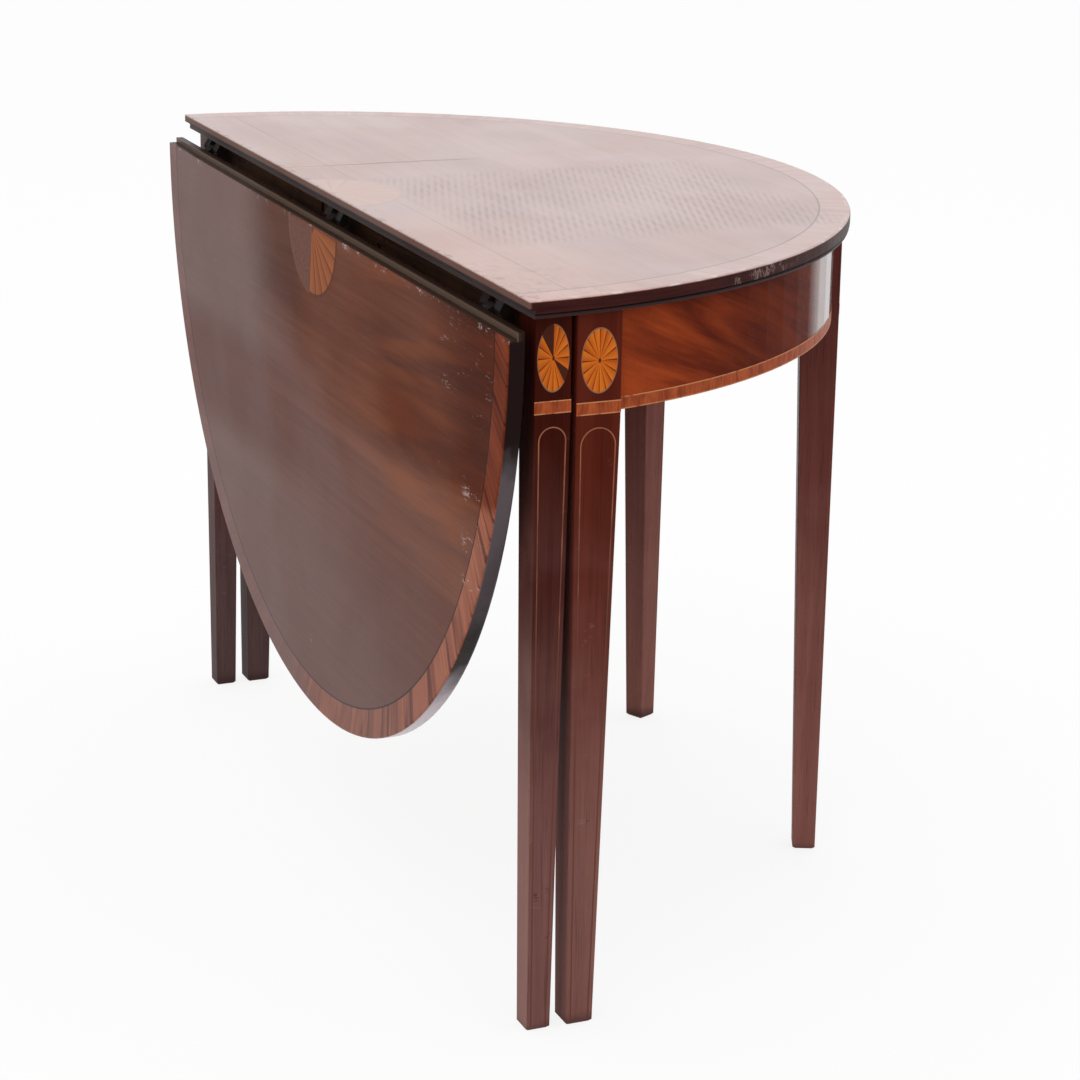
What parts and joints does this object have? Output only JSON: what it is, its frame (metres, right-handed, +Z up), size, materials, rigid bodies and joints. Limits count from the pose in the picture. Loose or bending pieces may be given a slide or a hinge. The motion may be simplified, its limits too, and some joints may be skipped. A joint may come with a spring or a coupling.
{
  "type": "gateleg tea table",
  "caption": "Half-round mahogany tea table with a curved apron, square tapered legs, a hanging half-round leaf on iron hinges and swinging gate legs that carry the raised leaf.",
  "frame": {"origin": "centre of the bounding box on the floor, with the leaf hanging", "axes": "+X along the straight hinged edge towards the end nearest the camera in the picture, +Y towards the curved front, +Z up"},
  "size_m": [1.09, 0.5595, 0.72],
  "materials": {
    "faded_mahogany": "old polish, sun-faded",
    "leaf_mahogany": "polished",
    "flame_mahogany": "polished figured veneer",
    "leg_mahogany": "polished",
    "oak_rail": "unpolished secondary wood",
    "old_iron": "dark oxidised"
  },
  "bodies": {
    "frame": {"fixed_top": "faded_mahogany", "apron_near": "flame_mahogany", "apron_front": "flame_mahogany", "apron_far": "flame_mahogany", "end_leg_near": "leg_mahogany", "end_leg_far": "leg_mahogany", "curve_leg_near": "leg_mahogany", "curve_leg_far": "leg_mahogany", "back_rail": "oak_rail", "knuckle_block": "oak_rail", "gate_pin_near": "old_iron", "gate_pin_far": "old_iron", "hinge_top_plate_near": "old_iron", "hinge_pin_near": "old_iron", "hinge_top_plate_middle": "old_iron", "hinge_pin_middle": "old_iron", "hinge_top_plate_far": "old_iron", "hinge_pin_far": "old_iron"},
    "leaf": {"drop_leaf": "leaf_mahogany", "hinge_leaf_plate_near": "old_iron", "hinge_leaf_plate_middle": "old_iron", "hinge_leaf_plate_far": "old_iron"},
    "gate_near": {"gate_rail_near": "oak_rail", "gate_leg_near": "leg_mahogany"},
    "gate_far": {"gate_rail_far": "oak_rail", "gate_leg_far": "leg_mahogany"}
  },
  "joints": [
    {"name": "leaf_hinge", "type": "hinge", "parent": "frame", "child": "leaf", "pos_m": [0, -0.25325, 0.6935], "axis": [-1, 0, 0], "range_deg": [0, 90]},
    {"name": "gate_near_swing", "type": "hinge", "parent": "frame", "child": "gate_near", "pos_m": [0.09, -0.22305, 0.655], "axis": [0, 0, -1], "range_deg": [0, 2]},
    {"name": "gate_far_swing", "type": "hinge", "parent": "frame", "child": "gate_far", "pos_m": [-0.09, -0.22305, 0.655], "axis": [0, 0, 1], "range_deg": [0, 2]}
  ]
}
